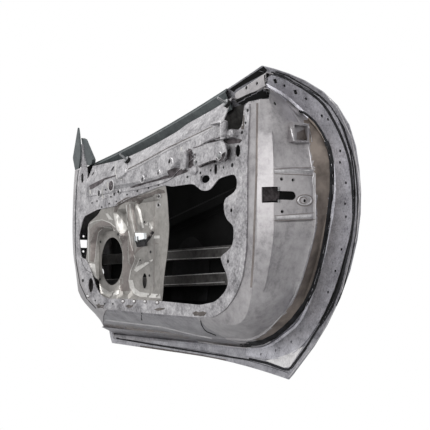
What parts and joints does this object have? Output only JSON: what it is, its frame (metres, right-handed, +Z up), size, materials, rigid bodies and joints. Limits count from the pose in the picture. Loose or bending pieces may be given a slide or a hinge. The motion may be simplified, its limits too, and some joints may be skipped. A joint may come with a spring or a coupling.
{
  "type": "car door shell",
  "caption": "Bare metal shell of a frameless coupe door: inner frame, embossed carrier, shut panels, belt rails, impact beams and curved outer skin.",
  "frame": {"origin": "centre of the upper hinge pad, on the outer side of the flat hinge face", "axes": "+X along the door towards the latch end, +Y out towards the curved skin, +Z up"},
  "size_m": [1.2334, 0.2254, 0.7591],
  "materials": {
    "skin_sheet": "bare rolled sheet, mottled by handling",
    "cast_panel": "bare thin-wall casting, satin with grey mottling",
    "cast_frame": "bare die casting, blotched grey",
    "carrier_sheet": "bare pressed sheet, satin",
    "dark_strip": "dark grey-green primer, dull",
    "beam_metal": "bare extrusion",
    "zinc_steel": "zinc plated, worn",
    "black_rubber": "dull black",
    "mastic": "dull black damping sheet"
  },
  "bodies": {
    "root": {"outer_skin": "skin_sheet", "latch_end_panel": "cast_panel", "sill_panel": "cast_panel", "hinge_end_panel": "cast_panel", "inner_frame": "cast_frame", "carrier_panel": "carrier_sheet", "belt_rail": "cast_frame", "outer_belt_rail": "dark_strip", "corner_bracket": "cast_panel", "upper_beam": "beam_metal", "lower_beam": "beam_metal", "upper_beam_front_foot": "beam_metal", "upper_beam_rear_foot": "beam_metal", "lower_beam_front_foot": "beam_metal", "lower_beam_rear_foot": "beam_metal", "upper_hinge_plate": "zinc_steel", "lower_hinge_plate": "zinc_steel", "check_strap_plate": "zinc_steel", "latch_plate": "zinc_steel", "mirror_sail": "dark_strip", "sail_strut": "dark_strip", "mirror_plate": "cast_frame", "handle_plate": "cast_frame", "front_stabiliser_stud": "zinc_steel", "rear_stabiliser_stud": "zinc_steel", "front_stabiliser_pad": "black_rubber", "rear_stabiliser_pad": "black_rubber", "carrier_clip": "zinc_steel", "skin_stiffener": "dark_strip", "damping_pad": "mastic"}
  },
  "joints": []
}
